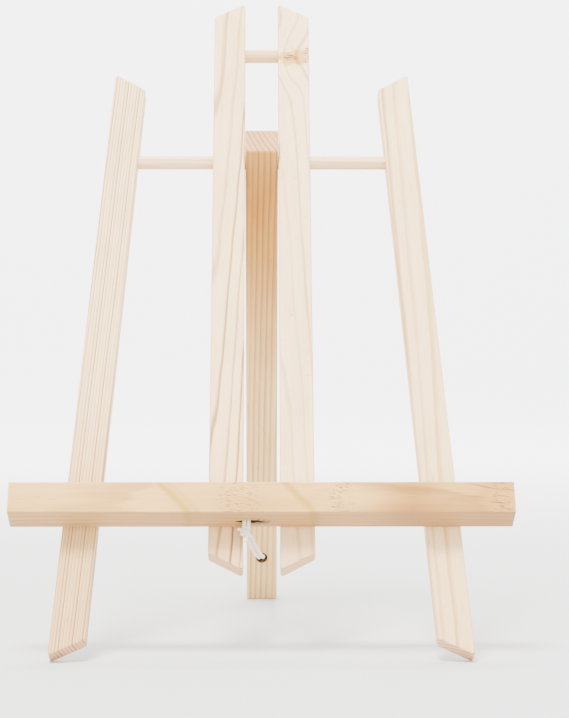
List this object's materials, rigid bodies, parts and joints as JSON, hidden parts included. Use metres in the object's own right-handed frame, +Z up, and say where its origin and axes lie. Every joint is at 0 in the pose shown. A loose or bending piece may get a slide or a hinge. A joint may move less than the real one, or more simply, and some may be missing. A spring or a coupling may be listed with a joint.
{
  "type": "tabletop artist easel",
  "caption": "Small tripod tabletop easel of plain softwood sticks with a ledge bar, dowel crosspieces and a hinged rear leg held by a cord.",
  "frame": {"origin": "on the ground, under the middle of the bounding box of the open easel", "axes": "+Z up; +X to the right seen from the front; the front faces -Y and leans back towards +Y"},
  "size_m": [0.19, 0.203, 0.2631],
  "materials": {
    "pine": "bare sanded softwood, matt",
    "dowel_wood": "bare turned dowel, matt",
    "pin_steel": "bright wire pin, slightly dull",
    "cotton_cord": "twisted undyed cotton"
  },
  "bodies": {
    "frame": {"left_leg": "pine", "right_leg": "pine", "left_upright": "pine", "right_upright": "pine", "top_dowel": "dowel_wood", "cross_dowel": "dowel_wood", "ledge": "pine", "ledge_nails": "pin_steel", "cord_left_strand": "cotton_cord", "cord_right_strand": "cotton_cord", "ledge_knot": "cotton_cord"},
    "rear_leg": {"rear_leg": "pine", "stop_knot": "cotton_cord"}
  },
  "joints": [
    {"name": "rear_leg_fold", "type": "hinge", "parent": "frame", "child": "rear_leg", "pos_m": [0, 0.01144, 0.19207], "axis": [-1, 0, 0], "range_deg": [0, 54], "deforming": ["cord_left_strand", "cord_right_strand"]}
  ]
}
